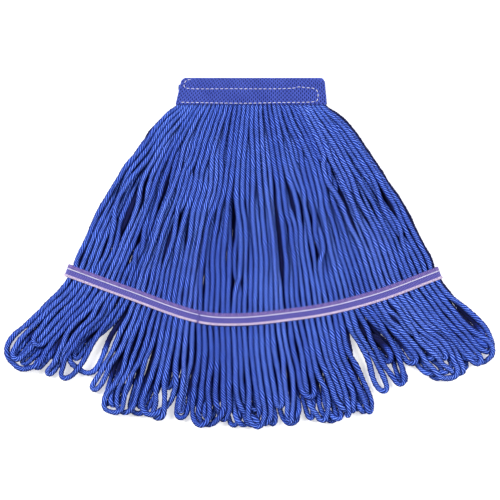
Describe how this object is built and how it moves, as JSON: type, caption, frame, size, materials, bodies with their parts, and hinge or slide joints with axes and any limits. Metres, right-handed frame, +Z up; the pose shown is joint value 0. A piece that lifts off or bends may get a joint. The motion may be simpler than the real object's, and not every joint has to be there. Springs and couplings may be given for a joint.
{
  "type": "string mop head",
  "caption": "Looped-end string mop head: twisted yarn loops sewn into a folded webbing headband, held spread by a woven tailband, for wet mopping floors.",
  "frame": {"origin": "middle of the head's box at the height of the floor it lies on", "axes": "+X across the head to the right, +Y along the strands towards the headband, +Z up through the front face"},
  "size_m": [0.4929, 0.354, 0.0162],
  "materials": {
    "yarn": "matte twisted yarn of several plies, slightly fuzzy",
    "webbing": "matte open-mesh webbing",
    "tape": "satin herringbone tape with a pale woven stripe",
    "thread": "satin spun sewing thread"
  },
  "bodies": {
    "strands": {"front_loop_01": "yarn", "front_loop_02": "yarn", "front_loop_03": "yarn", "front_loop_04": "yarn", "front_loop_05": "yarn", "front_loop_06": "yarn", "front_loop_07": "yarn", "front_loop_08": "yarn", "front_loop_09": "yarn", "front_loop_10": "yarn", "front_loop_11": "yarn", "front_loop_12": "yarn", "front_loop_13": "yarn", "front_loop_14": "yarn", "front_loop_15": "yarn", "front_loop_16": "yarn", "front_loop_17": "yarn", "front_loop_18": "yarn", "front_loop_19": "yarn", "front_loop_20": "yarn", "front_loop_21": "yarn", "front_loop_22": "yarn", "front_loop_23": "yarn", "front_loop_24": "yarn", "front_loop_25": "yarn", "front_loop_26": "yarn", "front_loop_27": "yarn", "front_loop_28": "yarn", "front_loop_29": "yarn", "front_loop_30": "yarn", "front_loop_31": "yarn", "front_loop_32": "yarn", "front_loop_33": "yarn", "front_loop_34": "yarn", "back_loops_01": "yarn", "back_loops_02": "yarn", "back_loops_03": "yarn", "back_loops_04": "yarn", "back_loops_05": "yarn", "back_loops_06": "yarn", "back_loops_07": "yarn", "back_loops_08": "yarn", "back_loops_09": "yarn", "back_loops_10": "yarn", "back_loops_11": "yarn", "tailband_tape": "tape", "tailband_stitch_front_upper": "thread", "tailband_stitch_front_lower": "thread", "tailband_stitch_back_upper": "thread", "tailband_stitch_back_lower": "thread"},
    "headband": {"headband_webbing": "webbing", "yarn_core": "yarn", "headband_stitch_front": "thread", "headband_stitch_back": "thread"}
  },
  "joints": [
    {"name": "headband_fold", "type": "hinge", "parent": "strands", "child": "headband", "pos_m": [0.0022, 0.149, 0.0079], "axis": [1, 0, 0], "range_deg": [0, 90]}
  ]
}
